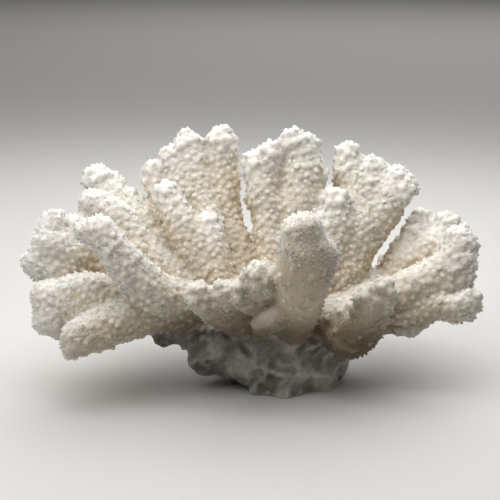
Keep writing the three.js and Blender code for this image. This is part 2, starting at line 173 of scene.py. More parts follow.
# The left branches
# Blades and fingers that fan out of the left limb, the lowest of them drooping past the foot.
LEFT = {
    "lower_left_lobe": [
        [[-56, -10, 45, 12], [-82, -20, 49, 13], [-104, -22, 50, 12], [-120, -20, 51, 9]],
        [[-100, -22, 46, 12], [-117, -22, 40, 11]],
        [[-86, -22, 52, 11], [-97, -24, 57, 8], [-109, -23, 57, 7]],
        [[-84, -22, 46, 11], [-100, -26, 43, 10]],
    ],
    "left_front_finger": [
        [[-52, -14, 44, 12], [-80, -34, 44, 11], [-94, -41, 40, 11], [-102, -42, 36, 10]],
    ],
    "left_front_ridge": [
        [[-46, -10, 44, 12], [-60, -24, 51, 12], [-71, -34, 63, 11], [-82, -38, 79, 9],
         [-91, -37, 91, 8]],
        [[-86, -36, 84, 8], [-98, -32, 90, 6]],
    ],
    "left_upper_lobe": [
        [[-56, -4, 46, 13], [-80, 0, 56, 12], [-99, 3, 67, 11], [-117, -1, 79, 9], [-118, -1, 85, 8]],
        [[-98, 4, 68, 11], [-106, 3, 82, 8]],
        [[-100, 2, 64, 11], [-116, -6, 64, 11], [-126, -8, 66, 9]],
        [[-99, 3, 67, 11], [-115, -5, 73, 11], [-120, -6, 75, 10]],
    ],
    "left_middle_branch": [
        [[-48, -3, 42, 13], [-60, -5, 56, 12], [-72, -2, 68, 11], [-86, 5, 86, 10], [-99, 8, 94, 8]],
    ],
    "left_back_branch": [
        [[-40, 2, 42, 14], [-56, 8, 56, 14], [-68, 14, 68, 13], [-80, 21, 80, 12], [-92, 28, 92, 10],
         [-98, 32, 101, 8]],
        [[-72, 20, 72, 11], [-79, 27, 85, 9], [-82, 29, 91, 7]],
        [[-82, 24, 82, 11], [-88, 33, 94, 7], [-89, 34, 99, 5]],
    ],
}
for name, stems in LEFT.items():
    grow(name, stems)

# The middle branches
# The tall fans at the back of the crown, parted by narrow gaps, with lower blades before them.
MIDDLE = {
    "inner_left_blade": [
        [[-24, 0, 42, 13], [-35, -2, 52, 12], [-43, 1, 66, 11], [-52, 7, 82, 10], [-60, 14, 97, 7]],
        [[-36, 0, 60, 11], [-38, 7, 76, 9], [-39, 10, 82, 7]],
    ],
    "back_left_fan": [
        [[-24, 8, 46, 14], [-33, 13, 60, 13], [-42, 27, 80, 12], [-47, 39, 100, 11], [-51, 44, 118, 8]],
        [[-46, 30, 84, 11], [-55, 35, 97, 9], [-60, 39, 113, 6]],
        [[-36, 14, 62, 12], [-52, 24, 74, 11], [-65, 34, 94, 8], [-69, 36, 106, 6]],
    ],
    "back_finger": [
        [[-14, 10, 44, 13], [-21, 17, 58, 11], [-29, 32, 82, 8], [-31, 41, 102, 9], [-32, 44, 121, 8]],
    ],
    "centre_back_fan": [
        [[-2, 2, 42, 15], [-4, 8, 62, 13], [-6, 12, 79, 10], [-10, 17, 98, 8], [-15, 22, 113, 6]],
        [[-11, 16, 94, 9], [-7, 23, 113, 8], [-6, 24, 117, 7]],
        [[4, 2, 46, 15], [5, 10, 66, 13], [9, 14, 84, 12], [10, 18, 100, 11], [9, 24, 115, 9],
         [6, 25, 122, 8]],
        [[13, 20, 104, 9], [13, 26, 121, 7]],
        [[13, 20, 98, 10], [17, 24, 107, 7]],
        [[0, 16, 70, 11], [0, 28, 92, 9], [1, 30, 108, 8]],
    ],
    "inner_right_finger": [
        [[14, -2, 44, 12], [22, 2, 58, 12], [26, 5, 72, 11], [28, 8, 84, 10], [28, 10, 94, 8]],
        [[24, 4, 74, 10], [21, 6, 83, 8]],
    ],
}
for name, stems in MIDDLE.items():
    grow(name, stems)

# The right branches
# A forked fan beside the middle, and low blades that run out of the right limb.
RIGHT = {
    "right_back_fan": [
        [[22, 4, 44, 14], [29, 5, 54, 14], [35, 10, 66, 13], [41, 14, 78, 13], [42, 24, 92, 12],
         [37, 30, 104, 10], [36, 32, 115, 7]],
        [[46, 24, 92, 12], [49, 29, 107, 8]],
        [[45, 16, 78, 12], [54, 20, 90, 11], [61, 25, 102, 8]],
        [[54, 20, 90, 10], [66, 20, 100, 6]],
    ],
    "right_back_branch": [
        [[38, 5, 40, 13], [51, 9, 44, 12], [62, 12, 52, 11], [71, 18, 64, 10], [75, 26, 80, 7]],
        [[65, 13, 56, 11], [81, 16, 68, 11], [89, 21, 79, 7]],
        [[58, 12, 50, 11], [63, 15, 60, 9], [70, 21, 73, 7]],
    ],
    "right_front_blade": [
        [[40, -7, 40, 14], [54, -9, 45, 13], [66, -10, 51, 12], [82, -6, 60, 11], [92, 0, 74, 9]],
        [[70, -9, 53, 11], [85, -6, 61, 11], [92, -4, 66, 9]],
        [[68, -10, 52, 12], [82, -8, 55, 11], [90, -6, 58, 9]],
    ],
    "lower_right_finger": [
        [[48, -9, 38, 11], [62, -13, 38, 10], [78, -19, 46, 7], [88, -20, 45, 8], [96, -16, 48, 7]],
    ],
}
for name, stems in RIGHT.items():
    grow(name, stems)

# The rear branches
# The side that the viewer doesn't see: shorter branches that finish the crown all round.
REAR = {
    "rear_left_branch": [
        [[-22, 12, 40, 14], [-38, 32, 54, 13], [-52, 48, 72, 11], [-61, 59, 88, 9]],
        [[-50, 46, 70, 10], [-44, 58, 80, 7]],
    ],
    "rear_middle_branch": [
        [[0, 12, 40, 15], [4, 34, 54, 13], [8, 50, 74, 12], [10, 62, 92, 9]],
        [[8, 48, 72, 11], [20, 60, 82, 7]],
    ],
    "rear_right_branch": [
        [[18, 10, 36, 14], [27, 30, 46, 13], [35, 46, 58, 11], [40, 58, 71, 9]],
    ],
    "rear_low_right_branch": [
        [[30, 6, 36, 14], [48, 26, 38, 13], [64, 40, 42, 11], [74, 48, 44, 9]],
        [[56, 34, 40, 11], [62, 49, 48, 8]],
    ],
    "rear_low_left_branch": [
        [[-40, 2, 36, 14], [-60, 20, 40, 13], [-82, 34, 48, 11], [-95, 42, 52, 9]],
        [[-70, 28, 44, 11], [-72, 46, 46, 8]],
    ],
    "rear_outer_left_branch": [
        [[-42, 6, 40, 14], [-60, 26, 48, 12], [-78, 43, 61, 11], [-89, 52, 71, 8]],
    ],
    "rear_low_middle_branch": [
        [[-6, 14, 30, 15], [-12, 36, 34, 13], [-18, 54, 38, 11], [-21, 68, 46, 9]],
        [[-16, 50, 38, 10], [-34, 60, 44, 8]],
    ],
}
for name, stems in REAR.items():
    grow(name, stems)

# The fused skeleton
# All stems grow together into one stone body. They are fused on a fine voxel grid and smoothed, which
# rounds the forks, made slightly lumpy, broken into crags round the foot, and cut off flat under it.
# The crags' shape is the dimension, lacunarity, octaves, offset and gain of their noise.
BODY_VOXEL = 1.1 * MM
FORK_SMOOTHING = 10
LUMP_SIZE = 14 * MM
LUMP_HEIGHT = 1.0 * MM
CRAG_TOP = 38 * MM
FACET_SIZE = 17 * MM
FACET_HEIGHT = 15 * MM
FACET_LEVEL = 0.45
FACET_BEND = 0.25
CRAG_SIZE = 9 * MM
CRAG_HEIGHT = 2.2 * MM
CRAG_LEVEL = 1.4
CRAG_SHAPE = (0.7, 2.3, 3, 1.0, 2.0)
CRAG_START = 2.5
NOISE_SEED = 7


def evaluated(piece):
    """A plain mesh of the piece with its modifiers applied."""
    graph = bpy.context.evaluated_depsgraph_get()
    return bpy.data.meshes.new_from_object(piece.evaluated_get(graph), depsgraph=graph)


def fused(name, mesh, voxel, smoothing):
    """The outer skin of a mesh of overlapping closed forms, as one mesh of even faces."""
    piece = bpy.data.objects.new(name, mesh)
    bpy.context.scene.collection.objects.link(piece)
    remesh = piece.modifiers.new("fuse", "REMESH")
    remesh.mode = "VOXEL"
    remesh.voxel_size = voxel
    smooth = piece.modifiers.new("soften", "SMOOTH")
    smooth.factor = 0.5
    smooth.iterations = smoothing
    result = evaluated(piece)
    bpy.data.objects.remove(piece)
    return result


bmesh.ops.recalc_face_normals(skeleton, faces=skeleton.faces)
stem_mesh = bpy.data.meshes.new("stems")
skeleton.to_mesh(stem_mesh)
skeleton.free()
body_mesh = fused("body", stem_mesh, BODY_VOXEL, FORK_SMOOTHING)

noise.seed_set(NOISE_SEED)
cutter = bmesh.new()
cutter.from_mesh(body_mesh)
for vertex in cutter.verts:
    place = vertex.co
    lump = noise.noise(place / LUMP_SIZE) + 0.5 * noise.noise(place / (0.45 * LUMP_SIZE))
    swell = lump * LUMP_HEIGHT
    if place.z < CRAG_TOP:
        broken = min(CRAG_START * (CRAG_TOP - place.z) / CRAG_TOP, 1)
        bent = place / FACET_SIZE + FACET_BEND * noise.noise_vector(place / FACET_SIZE)
        facet = noise.voronoi(bent)[0][0] - FACET_LEVEL
        crag = noise.ridged_multi_fractal(place / CRAG_SIZE, *CRAG_SHAPE) - CRAG_LEVEL
        swell += broken * (facet * FACET_HEIGHT + crag * CRAG_HEIGHT)
    vertex.co += vertex.normal * swell
cut = bmesh.ops.bisect_plane(cutter, geom=cutter.verts[:] + cutter.edges[:] + cutter.faces[:], dist=1e-6,
                             plane_co=(0, 0, 0), plane_no=(0, 0, -1), clear_outer=True)
rim = [edge for edge in cut["geom_cut"] if isinstance(edge, bmesh.types.BMEdge)]
bmesh.ops.triangle_fill(cutter, edges=rim, use_beauty=True, normal=(0, 0, -1))
bmesh.ops.recalc_face_normals(cutter, faces=cutter.faces)
cutter.to_mesh(body_mesh)
cutter.free()

# The knobs
# The ends of the fans swell into small knobs, and low, soft bumps lie all over the branches, few of
# them on the smooth front ones. Geometry Nodes scatter both evenly on the body, leaning the way that
# its branches grow, and they are fused with it like the stems.
NAMES = list(STEMS)
KNOBS = {"Cover": "knob_cover", "Spacing": 4.8 * MM, "Width": 5.0 * MM, "Height": 2.0 * MM, "Lean": 0.5,
         "Seed": 5, "Roundness": 2}
BUMPS = {"Cover": "bump_cover", "Spacing": 3.7 * MM, "Width": 3.2 * MM, "Height": 1.25 * MM, "Lean": 0.4,
         "Seed": 17, "Roundness": 2}
KNOB_ENDS = (8 * MM, 12 * MM)
BUMP_START = (26 * MM, 38 * MM)
FRONT_BUMPS = 0.25
SKIN_VOXEL = 0.9 * MM
SKIN_SMOOTHING = 2


def rows_of(collection, what, width):
    """One value or vector of every element of a mesh's collection, as an array."""
    values = np.empty(len(collection) * width, np.float32)
    collection.foreach_get(what, values)
    return values.reshape(-1, width).astype(float)


def step_up(values, low, high):
    """0 below low, 1 above high, and a smooth rise between."""
    t = np.clip((values - low) / (high - low), 0, 1)
    return t * t * (3 - 2 * t)


def step_down(values, low, high):
    """1 below low, 0 above high, and a smooth fall between."""
    return 1 - step_up(values, low, high)


def nearest_stems(places):
    """Branch number, growth direction and distance to the stem's tip of each place."""
    best = np.full(len(places), np.inf)
    branch = np.zeros(len(places), int)
    growth = np.zeros((len(places), 3))
    to_tip = np.zeros(len(places))
    for number, name in enumerate(NAMES):
        for stem in STEMS[name]:
            knuckles = np.array(stem, float) * MM
            lengths = np.linalg.norm(np.diff(knuckles[:, :3], axis=0), axis=1)
            for i, length in enumerate(lengths):
                a, b = knuckles[i], knuckles[i + 1]
                along = (places - a[:3]) @ (b[:3] - a[:3]) / length**2
                t = np.clip(along, 0, 1)
                gap = np.linalg.norm(places - a[:3] - t[:, None] * (b[:3] - a[:3]), axis=1)
                gap -= a[3] + t * (b[3] - a[3])
                closer = gap < best
                best[closer] = gap[closer]
                branch[closer] = number
                growth[closer] = (b[:3] - a[:3]) / length
                to_tip[closer] = ((1 - along) * length + lengths[i + 1:].sum() + knuckles[-1, 3])[closer]
    return branch, growth, to_tip


def on_branches(branch, names):
    """Which places lie on the named branches, from each place's branch number."""
    return np.isin(branch, [NAMES.index(name) for name in names])


def keep_numbers(mesh, name, values, domain="POINT"):
    """Keeps one number per vertex or face as a named attribute."""
    attribute = mesh.attributes.new(name, "FLOAT", domain)
    attribute.data.foreach_set("value", np.asarray(values, np.float32))


def keep_growth(mesh, growth):
    """Keeps the way that the branch grows at each vertex."""
    attribute = mesh.attributes.new("growth", "FLOAT_VECTOR", "POINT")
    attribute.data.foreach_set("vector", growth.astype(np.float32).ravel())


MOST_POINTS = 8e5
ASTRAY = 0.3
SMALLEST, LARGEST = 0.65, 1.25
outgrowths = bpy.data.node_groups.new("outgrowths", "GeometryNodeTree")
outgrowths.is_modifier = True
sockets = {}
for label, kind, direction in [
    ("Geometry", "NodeSocketGeometry", "INPUT"),
    ("Cover", "NodeSocketString", "INPUT"),
    ("Spacing", "NodeSocketFloat", "INPUT"),
    ("Width", "NodeSocketFloat", "INPUT"),
    ("Height", "NodeSocketFloat", "INPUT"),
    ("Lean", "NodeSocketFloat", "INPUT"),
    ("Seed", "NodeSocketInt", "INPUT"),
    ("Roundness", "NodeSocketInt", "INPUT"),
    ("Material", "NodeSocketMaterial", "INPUT"),
    ("Outgrowths", "NodeSocketGeometry", "OUTPUT"),
]:
    made = outgrowths.interface.new_socket(label, in_out=direction, socket_type=kind)
    sockets[label] = made.identifier


def node(tree, kind, inputs=None, **settings):
    """Adds a node. inputs maps a socket's name or number to a value or to the socket that feeds it."""
    made = tree.nodes.new(kind)
    for setting, value in settings.items():
        setattr(made, setting, value)
    for key, value in (inputs or {}).items():
        if isinstance(value, bpy.types.NodeSocket):
            tree.links.new(value, made.inputs[key])
        else:
            made.inputs[key].default_value = value
    return made


given = node(outgrowths, "NodeGroupInput").outputs
cover = node(outgrowths, "GeometryNodeInputNamedAttribute", {"Name": given["Cover"]}, data_type="FLOAT")
growing = node(outgrowths, "GeometryNodeInputNamedAttribute", {"Name": "growth"},
               data_type="FLOAT_VECTOR")
scatter = node(outgrowths, "GeometryNodeDistributePointsOnFaces",
               {"Mesh": given["Geometry"], "Distance Min": given["Spacing"], "Density Max": MOST_POINTS,
                "Density Factor": cover.outputs[0], "Seed": given["Seed"]},
               distribute_method="POISSON")
leaning = node(outgrowths, "ShaderNodeVectorMath",
               {0: growing.outputs[0], "Scale": given["Lean"]}, operation="SCALE")
outward = node(outgrowths, "ShaderNodeVectorMath",
               {0: scatter.outputs["Normal"], 1: leaning.outputs[0]}, operation="ADD")
astray = node(outgrowths, "FunctionNodeRandomValue",
              {0: (-ASTRAY,) * 3, 1: (ASTRAY,) * 3, "Seed": given["Seed"]}, data_type="FLOAT_VECTOR")
direction = node(outgrowths, "ShaderNodeVectorMath",
                 {0: outward.outputs[0], 1: astray.outputs[0]}, operation="ADD")
turned = node(outgrowths, "FunctionNodeAlignRotationToVector", {"Vector": direction.outputs[0]},
              axis="Z")
grown = node(outgrowths, "FunctionNodeRandomValue",
             {2: SMALLEST, 3: LARGEST, "Seed": given["Seed"]}, data_type="FLOAT")
half_width = node(outgrowths, "ShaderNodeMath", {0: given["Width"], 1: 0.5}, operation="MULTIPLY")
form = node(outgrowths, "ShaderNodeCombineXYZ",
            {0: half_width.outputs[0], 1: half_width.outputs[0], 2: given["Height"]})
ball = node(outgrowths, "GeometryNodeMeshIcoSphere", {"Radius": 1.0, "Subdivisions": given["Roundness"]})
across = node(outgrowths, "ShaderNodeSeparateXYZ",
              {0: node(outgrowths, "GeometryNodeInputPosition").outputs[0]})
marked = node(outgrowths, "GeometryNodeStoreNamedAttribute",
              {"Geometry": ball.outputs["Mesh"], "Name": "rise", "Value": across.outputs["Z"]},
              data_type="FLOAT", domain="POINT")
bump = node(outgrowths, "GeometryNodeTransform",
            {"Geometry": marked.outputs[0], "Scale": form.outputs[0]})
rooted = node(outgrowths, "GeometryNodeStoreNamedAttribute",
              {"Geometry": scatter.outputs["Points"], "Name": "ground_normal",
               "Value": scatter.outputs["Normal"]}, data_type="FLOAT_VECTOR", domain="POINT")
placed = node(outgrowths, "GeometryNodeInstanceOnPoints",
              {"Points": rooted.outputs[0], "Instance": bump.outputs["Geometry"],
               "Rotation": turned.outputs[0], "Scale": grown.outputs[1]})
real = node(outgrowths, "GeometryNodeRealizeInstances", {"Geometry": placed.outputs[0]})
finished = node(outgrowths, "GeometryNodeSetMaterial",
                {"Geometry": real.outputs[0], "Material": given["Material"]})
node(outgrowths, "NodeGroupOutput", {"Outgrowths": finished.outputs[0]})


def grown_on(mesh, settings):
    """The outgrowths that the tree scatters on a mesh, as a plain mesh of their own."""
    ground = bpy.data.objects.new("ground", mesh)
    bpy.context.scene.collection.objects.link(ground)
    growing = ground.modifiers.new("outgrowths", "NODES")
    growing.node_group = outgrowths
    for label, value in settings.items():
        growing[sockets[label]] = value
    result = evaluated(ground)
    ground.modifiers.remove(growing)
    bpy.data.objects.remove(ground)
    return result


body_places = rows_of(body_mesh.vertices, "co", 3)
branch, growth, to_tip = nearest_stems(body_places)
front_knobs = [name for name in FRONT if name != "front_column"]
knobbed = on_branches(branch, [*MIDDLE, *RIGHT, *REAR, *front_knobs, "left_back_branch"])
keep_numbers(body_mesh, "knob_cover", knobbed * step_down(to_tip, *KNOB_ENDS))
bump_cover = step_up(body_places[:, 2], *BUMP_START)
bump_cover *= np.where(on_branches(branch, FRONT), FRONT_BUMPS, 1)
keep_numbers(body_mesh, "bump_cover", bump_cover)
keep_growth(body_mesh, growth)
together = bmesh.new()
together.from_mesh(body_mesh)
for settings in (KNOBS, BUMPS):
    knob_mesh = grown_on(body_mesh, settings)
    together.from_mesh(knob_mesh)
together.to_mesh(knob_mesh)
together.free()
skin_mesh = fused("skin", knob_mesh, SKIN_VOXEL, SKIN_SMOOTHING)


# The hidden bubbles
# Where the branches grow together the fused skin can close round a small hollow. Only the outside of
# the skin is kept.


def patches_of(count, pairs):
    """A number for each of so many elements, the same for all that the pairs join together."""
    patch = np.arange(count)
    while True:
        before = patch.copy()
        lowest = np.minimum(patch[pairs[:, 0]], patch[pairs[:, 1]])
        for side in (0, 1):
            np.minimum.at(patch, pairs[:, side], lowest)
            np.minimum.at(patch, before[pairs[:, side]], lowest)
        patch = patch[patch]
        if np.array_equal(patch, before):
            return patch


edges = np.empty(2 * len(skin_mesh.edges), np.int32)
skin_mesh.edges.foreach_get("vertices", edges)
shell = patches_of(len(skin_mesh.vertices), edges.reshape(-1, 2))
outside = np.bincount(shell).argmax()
cleaner = bmesh.new()
cleaner.from_mesh(skin_mesh)
hidden_bubbles = [vertex for vertex in cleaner.verts if shell[vertex.index] != outside]
bmesh.ops.delete(cleaner, geom=hidden_bubbles, context="VERTS")
cleaner.to_mesh(skin_mesh)
cleaner.free()

# What each point of the skin knows
# Its branch, how near the tip it is, whether it lies low on the foot or under the crown, on a crest, in
# a crease or on a swell, and where dust and a stain lie on the front, both with painted shade. How much
# of the open air it sees tells the outside of the crown from the hollows deep in it, which take ochre
# and painted shade. Each pair of values is where a fact starts and where it is complete: a height, a
# distance, or how far the skin turns up, down or forward.
ROUGH_VOXEL = 3.2 * MM
SIGHT = 70 * MM
SIGHT_LINES = 40
STONE_TOP = 31 * MM
STONE_TOPS = {"holdfast": 37 * MM, "left_limb": 33 * MM, "front_right_knob": 17 * MM}
STONE_FADE = 4 * MM
STONE_REACH = (70 * MM, 88 * MM)
STONE_EVENING = 25
STONE_RISE_OUTWARD = 0.08
RAGGED_HEIGHT = 4 * MM
RAGGED_SIZE = 8 * MM
RAGGED_FINE_SIZE = 2.6 * MM
RAGGED_FINE_SHARE = 0.7
OPEN_AIR = (0.25, 0.8)
TIP_START = 8 * MM
TIP_END = 26 * MM
WHITE_RIDGE_END = 70 * MM
UNDER_TURN = (-0.05, 0.55)
UNDER_HEIGHT = (36 * MM, 54 * MM)
UNDER_REACH = (64 * MM, 92 * MM)
CREST_TURN = (0.35, 0.85)
CREST_EVENING = 6
SWELL_HEIGHT = (-0.12 * MM, 0.3 * MM)
SWELL_EVENING = 5
# Dust with painted shade on the front, spared on crests and lighter on the left branches.
DUST_AND_SHADE_DEPTH = (-40 * MM, 8 * MM)
DUST_AND_SHADE_TURN = (0.2, 0.85)
DUST_AND_SHADE_EVERYWHERE = 0.4
DUST_AND_SHADE_ON_LEFT = 0.3
SPARED_CREST = 0.6
SPARED_FRONT_CREST = 0.05
# A stain with painted shade, low near the middle, on skin that doesn't face up.
STAIN_AND_SHADE_HEIGHT = (34 * MM, 66 * MM)
STAIN_AND_SHADE_REACH = (46 * MM, 80 * MM)
STAIN_AND_SHADE_TURN = (0, 0.6)


def air_round(mesh):
    """How much of the sky over each vertex is free of other branches, 0 to 1."""
    corners = [vertex.co for vertex in mesh.vertices]
    around = bvhtree.BVHTree.FromPolygons(corners, [face.vertices for face in mesh.polygons])
    lines = []
    for i in range(2 * SIGHT_LINES):
        height = 1 - (i + 0.5) / SIGHT_LINES
        turn = i * math.pi * (3 - math.sqrt(5))
        width = math.sqrt(1 - height * height)
        lines.append(Vector((width * math.cos(turn), width * math.sin(turn), height)))
    free = []
    for vertex in mesh.vertices:
        start = vertex.co + vertex.normal * MM
        ahead = [line for line in lines if line.dot(vertex.normal) > 0.1]
        seen = sum(around.ray_cast(start, line, SIGHT)[0] is None for line in ahead)
        free.append(seen / len(ahead))
    return free


places = rows_of(skin_mesh.vertices, "co", 3)
normals = rows_of(skin_mesh.vertex_normals, "vector", 3)
resting = (places[:, 2] < 0.8 * SKIN_VOXEL) & (normals[:, 2] < -0.7)
places[:, 2] = np.where(resting, 0, np.maximum(places[:, 2], 0))
skin_mesh.vertices.foreach_set("co", places.astype(np.float32).ravel())
quads = np.empty(len(skin_mesh.loops), np.int32)
skin_mesh.loops.foreach_get("vertex_index", quads)
quads = quads.reshape(-1, 4)


def spread(values, rounds):
    """Evens out a number of each vertex with its neighbours'."""
    counts = np.bincount(quads.ravel(), minlength=len(values))
    for _ in range(rounds):
        shared = np.repeat(values[quads].mean(axis=1), 4)
        sums = np.bincount(quads.ravel(), shared, minlength=len(values))
        values = sums / np.maximum(counts, 1)
    return values


rough_mesh = fused("rough", stem_mesh, ROUGH_VOXEL, 2)
rough_air = np.array(air_round(rough_mesh))
lookup = kdtree.KDTree(len(rough_mesh.vertices))
for vertex in rough_mesh.vertices:
    lookup.insert(vertex.co, vertex.index)
lookup.balance()
air = []
ragged = []
for place in places.tolist():
    air.append(np.mean([rough_air[number] for _, number, _ in lookup.find_n(place, 3)]))
    fine = noise.noise(Vector(place) / RAGGED_FINE_SIZE)
    ragged.append(noise.noise(Vector(place) / RAGGED_SIZE) + RAGGED_FINE_SHARE * fine)
air = np.array(air)
branch, growth, to_tip = nearest_stems(places)
stone_top = np.full(len(places), STONE_TOP)
for name, top in STONE_TOPS.items():
    stone_top[branch == NAMES.index(name)] = top
stone_top = spread(stone_top, STONE_EVENING) + np.array(ragged) * RAGGED_HEIGHT
stone_top += STONE_RISE_OUTWARD * np.abs(places[:, 0])
heights = places[:, 2]
from_middle = np.hypot(places[:, 0], places[:, 1])
upward = spread(normals[:, 2], CREST_EVENING)
forward = -spread(normals[:, 1], CREST_EVENING)
evened = np.stack([spread(places[:, axis], SWELL_EVENING) for axis in range(3)], axis=1)
tip_end = np.where(on_branches(branch, ["left_front_ridge"]), WHITE_RIDGE_END, TIP_END)
facts = {
    # Ochre, partly the skeleton's own and partly painted shade, in the hollows that see little open air.
    "depth": step_down(air, *OPEN_AIR),
    "tip": step_down(to_tip, TIP_START, tip_end),
    "low": step_down(heights, stone_top - STONE_FADE, stone_top) * step_down(from_middle, *STONE_REACH),
    # Skin that faces down, low near the middle: painted shade and fewer warts.
    "under": step_up(-normals[:, 2], *UNDER_TURN) * step_down(heights, *UNDER_HEIGHT)
    * step_down(from_middle, *UNDER_REACH),
    "crest": step_up(upward, *CREST_TURN),
    "swell": step_up(((places - evened) * normals).sum(axis=1), *SWELL_HEIGHT),
}
living = 1 - facts["low"]
# Real greying on the front plus painted shade on skin that faces forward.
facing = DUST_AND_SHADE_EVERYWHERE + (1 - DUST_AND_SHADE_EVERYWHERE) * step_up(forward, *DUST_AND_SHADE_TURN)
facing[on_branches(branch, [name for name in LEFT if name != "left_front_finger"])] *= DUST_AND_SHADE_ON_LEFT
spared = facts["crest"] * np.where(on_branches(branch, FRONT), SPARED_FRONT_CREST, SPARED_CREST)
facts["dust"] = living * step_down(places[:, 1], *DUST_AND_SHADE_DEPTH) * (1 - spared) * facing
# A stain with painted shade, low near the middle, on skin that doesn't face up.
facts["stain"] = (living * step_down(heights, *STAIN_AND_SHADE_HEIGHT) * step_down(from_middle, *STAIN_AND_SHADE_REACH)
                  * step_down(upward, *STAIN_AND_SHADE_TURN))
facts["rise"] = np.zeros(len(places))

# The forks
# The skin is parted at the main forks, one piece for each branch. Patches too small to be a branch's own
# go to the branch round them.
SMALLEST_PATCH = 40
ROUNDS = 8
face_branch = branch[quads[:, 0]]

ends = np.stack([quads, np.roll(quads, -1, axis=1)], axis=2).reshape(-1, 2)
face_of_end = np.repeat(np.arange(len(quads)), 4)
edge_code = ends.min(axis=1).astype(np.int64) * len(places) + ends.max(axis=1)
order = np.argsort(edge_code, kind="stable")
first, second = order[0::2], order[1::2]
assert np.array_equal(edge_code[first], edge_code[second])
face_pairs = np.stack([face_of_end[first], face_of_end[second]], axis=1)

for _ in range(ROUNDS):
    same = face_pairs[face_branch[face_pairs[:, 0]] == face_branch[face_pairs[:, 1]]]
    patch = patches_of(len(quads), same)
    sizes = np.bincount(patch, minlength=len(quads))
    small = sizes[patch] < SMALLEST_PATCH
    if not small.any():
        break
    for here, there in [(0, 1), (1, 0)]:
        moving = small[face_pairs[:, here]] & ~small[face_pairs[:, there]]
        face_branch[face_pairs[moving, here]] = face_branch[face_pairs[moving, there]]

# The warts
# Small warts stand close together all over the branches and lean towards the tips: fine and pointed on
# the crests and tips, coarser, lower and further apart on the flanks, fewest on the smooth front ones.
# The same tree scatters them, and each belongs to the branch whose skin it stands on. Their shading
# takes most of its direction from the skin round them, which makes them look soft.
FLANK_WARTS = {"Cover": "flank_cover", "Spacing": 3.1 * MM, "Width": 2.5 * MM, "Height": 1.0 * MM,
               "Lean": 0.5, "Seed": 11, "Roundness": 1}
CREST_WARTS = {"Cover": "crest_cover", "Spacing": 1.45 * MM, "Width": 1.4 * MM, "Height": 1.35 * MM,
               "Lean": 0.5, "Seed": 23, "Roundness": 1}
SOFTNESS = 0.85
FAN_CREST_WARTS = 0.4
FRONT_CREST_GAIN = 2.5
FEWEST_FRONT_WARTS = 0.1
RIGHT_KNOB_WARTS = 0.8
FRONT_FLANK_WARTS = 0.35
UNDER_BARENESS = 0.6

on_fans = on_branches(branch, [*MIDDLE, *RIGHT, *REAR])
on_front = on_branches(branch, FRONT)
crest_cover = np.clip(facts["crest"] + facts["tip"], 0, 1) * np.where(on_fans, FAN_CREST_WARTS, 1)
crest_cover[on_front] = np.clip(FRONT_CREST_GAIN * crest_cover[on_front], FEWEST_FRONT_WARTS, 1)
crest_cover[on_branches(branch, ["front_right_knob"])] = RIGHT_KNOB_WARTS
flank_cover = (1 - crest_cover) * living * (1 - UNDER_BARENESS * facts["under"])
flank_cover *= np.where(on_front, FRONT_FLANK_WARTS, 1)
keep_numbers(skin_mesh, "crest_cover", crest_cover * living)
keep_numbers(skin_mesh, "flank_cover", flank_cover)
keep_growth(skin_mesh, growth)
keep_numbers(skin_mesh, "owner", face_branch, "FACE")
for fact in facts:
    if fact != "rise":
        keep_numbers(skin_mesh, fact, facts[fact])
wart_meshes = [grown_on(skin_mesh, settings) for settings in (FLANK_WARTS, CREST_WARTS)]

# The colours
# Bone-white skeleton, whitest at the tips, with a painted highlight on the warts' tops and on skin that
# faces up. The creases between bumps are cream with painted shade, and deep in the crown it is ochre,
# partly its own colour and partly painted shade. Dust with painted shade dulls the front and a brown
# stain with painted shade its lower half. Undersides get painted shade in grey-brown, and the broken
# foot is older, grey-brown stone, darkened further as painted shade, with a painted highlight on its
# edges, painted shade towards its left side and painted light towards its right.
# Painted shade in the creases; the deep colours are ochre, partly their own and partly painted shade.
CREASE_SHADE, DEEP_CREASE_OCHRE_AND_SHADE = (0.69, 0.61, 0.495), (0.52, 0.4, 0.255)
SWELLS, DEEP_SWELL_OCHRE_AND_SHADE = (0.79, 0.74, 0.65), (0.65, 0.545, 0.39)
# A painted highlight on the warts' tops.
WART_TOP_HIGHLIGHT, DEEP_WART_TOP_OCHRE_AND_HIGHLIGHT = (0.84, 0.81, 0.74), (0.76, 0.69, 0.55)
# A painted highlight on skin that faces up.
CREST_HIGHLIGHT = (0.82, 0.79, 0.72)
CREST_HIGHLIGHT_SHARE = 0.5
TIP_WHITE = (0.9, 0.88, 0.84)
TIP_SHARE = 0.5
# Painted shade on undersides.
UNDERSIDE_SHADE = (0.3, 0.27, 0.235)
UNDERSIDE_SHADE_SHARE = 0.85
# The foot's own grey-brown in random worn patches, made darker as painted shade.
DARK_STONE, PALE_STONE = (0.14, 0.125, 0.105), (0.4, 0.375, 0.335)
# A painted highlight on the foot's edges.
STONE_EDGE_HIGHLIGHT = (0.5, 0.475, 0.43)
EDGE_HIGHLIGHT_SHARE = 0.7
STONE_SHARE = 0.95
STONE_HALF_WIDTH = 30 * MM
# Painted shade on the foot's left side and painted light on its right.
STONE_LEFT_PAINTED_SHADE, STONE_RIGHT_PAINTED_LIGHT = 0.62, 1.35
# Dust tint with painted shade.
DUST_AND_SHADE_TINT = (0.72, 0.67, 0.605)
# Stain tint with painted shade.
STAIN_AND_SHADE_TINT = (0.62, 0.57, 0.5)
DARK_SHADE, PALE_SHADE = 0.92, 1.05
SCATTER_COLOUR = (1.0, 0.85, 0.7)
SCATTER_LENGTH = 1.6 * MM
PORE_DEPTH = 0.25 * MM
BREAK_DEPTH = 2.4 * MM
BREAK_SHARE = 0.9


